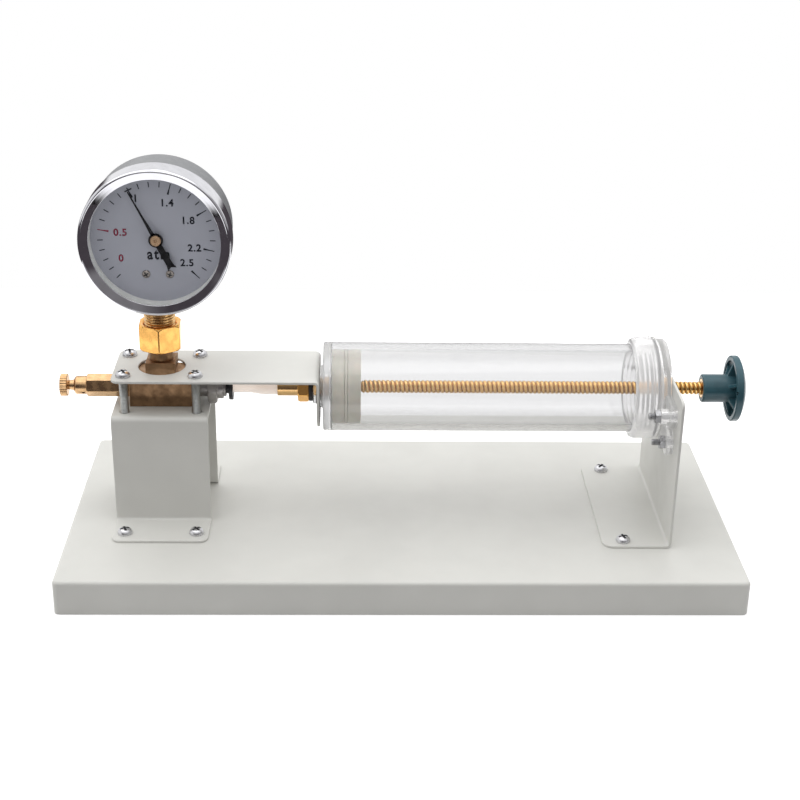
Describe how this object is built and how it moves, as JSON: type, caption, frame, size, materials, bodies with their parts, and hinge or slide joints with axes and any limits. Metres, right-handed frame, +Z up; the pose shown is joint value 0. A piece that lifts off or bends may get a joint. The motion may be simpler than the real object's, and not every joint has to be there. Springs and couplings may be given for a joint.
{
  "type": "boyles law apparatus",
  "caption": "Bench apparatus for gas pressure and volume: a screw-driven piston in a clear cylinder, joined by a hose to a dial gauge on a sheet-steel base.",
  "frame": {"origin": "on the table, under the middle of the base", "axes": "+X along the cylinder from the gauge to the hand knob, +Y to the back, +Z up"},
  "size_m": [0.3105, 0.14, 0.1809],
  "materials": {
    "painted_sheet": "light warm grey powder coat, fine texture",
    "zinc_steel": "bright zinc plated",
    "dark_steel": "black oxide, dull",
    "brass": "turned yellow brass, lightly scratched",
    "tube_bronze": "drawn bronze tube",
    "movement_brass": "stamped and cut brass",
    "seal_fibre": "red fibre",
    "case_steel": "satin grey",
    "chrome": "polished chrome plate",
    "clear_glass": "clear flat glass",
    "ring_white": "off-white",
    "dial_paint": "matt pale enamel",
    "pointer_black": "black",
    "nickel": "nickel plated brass",
    "black_plastic": "moulded black",
    "black_rubber": "black rubber",
    "pale_silicone": "pale silicone rubber",
    "hose_plastic": "translucent natural",
    "clear_plastic": "clear moulded and turned acrylic",
    "cream_plastic": "natural cream plastic",
    "teal_plastic": "dark green-blue moulding"
  },
  "bodies": {
    "root": {"base_tray": "painted_sheet", "tower_bracket": "painted_sheet", "top_plate": "painted_sheet", "end_bracket": "painted_sheet", "tower_foot_screws": "zinc_steel", "tower_foot_nuts": "zinc_steel", "clamp_screws": "zinc_steel", "clamp_nuts": "zinc_steel", "bracket_foot_screws": "zinc_steel", "bracket_foot_nuts": "zinc_steel", "cap_screws": "dark_steel", "cap_nuts": "dark_steel", "manifold_block": "brass", "union_tail": "brass", "union_nut": "brass", "gauge_stem": "brass", "bleed_valve_body": "brass", "barb_nipple": "brass", "nipple_nut": "brass", "rod_nut": "brass", "bourdon_tube": "tube_bronze", "tube_tip": "tube_bronze", "movement_front_plate": "movement_brass", "movement_back_plate": "movement_brass", "movement_pillars": "movement_brass", "tip_link": "movement_brass", "link_screw": "movement_brass", "hairspring": "movement_brass", "union_seal": "seal_fibre", "gauge_case": "case_steel", "gauge_bezel": "chrome", "dial_screws": "chrome", "gauge_glass": "clear_glass", "dial_ring": "ring_white", "gauge_dial": "dial_paint", "hose_fitting": "nickel", "release_collar": "black_plastic", "rubber_washer": "black_rubber", "hose": "hose_plastic", "clear_washer": "clear_plastic", "cylinder": "clear_plastic", "end_cap": "clear_plastic"},
    "piston_carriage": {"piston": "cream_plastic", "piston_ring": "pale_silicone"},
    "screw_rod": {"threaded_rod": "brass", "rod_retainer": "brass", "knob": "teal_plastic", "knob_insert": "brass"},
    "pointer_set": {"pointer": "pointer_black", "pointer_hub": "brass", "pinion_arbor": "movement_brass"},
    "sector": {"sector_gear": "movement_brass"},
    "bleed_pad": {"bleed_pad": "black_rubber"},
    "bleed_knob": {"bleed_screw": "brass"}
  },
  "joints": [
    {"name": "piston_slide", "type": "slide", "parent": "root", "child": "piston_carriage", "axis": [1, 0, 0], "range_m": [0, 0.13]},
    {"name": "knob_turn", "type": "hinge", "parent": "piston_carriage", "child": "screw_rod", "pos_m": [0.14, 0.003, 0.0756], "axis": [1, 0, 0], "range_deg": [0, 23400]},
    {"name": "pointer_turn", "type": "hinge", "parent": "root", "child": "pointer_set", "pos_m": [-0.1064, -0.009, 0.1484], "axis": [0, 1, 0], "range_deg": [-108, 162], "stiffness_Nm_per_rad": 0.002},
    {"name": "sector_turn", "type": "hinge", "parent": "root", "child": "sector", "pos_m": [-0.1064, -0.001, 0.1349], "axis": [0, 1, 0], "range_deg": [-20.25, 13.5]},
    {"name": "bleed_lift", "type": "slide", "parent": "root", "child": "bleed_pad", "axis": [-1, 0, 0], "range_m": [0, 0.0024]},
    {"name": "bleed_turn", "type": "hinge", "parent": "bleed_pad", "child": "bleed_knob", "pos_m": [-0.15, 0.003, 0.0756], "axis": [-1, 0, 0], "range_deg": [0, 1080]}
  ],
  "couplings": [
    {"joint": "knob_turn", "follows": "piston_slide", "rad_per_m": 3141.6},
    {"joint": "sector_turn", "follows": "pointer_turn", "ratio": -0.125},
    {"joint": "bleed_turn", "follows": "bleed_lift", "rad_per_m": 7854}
  ]
}
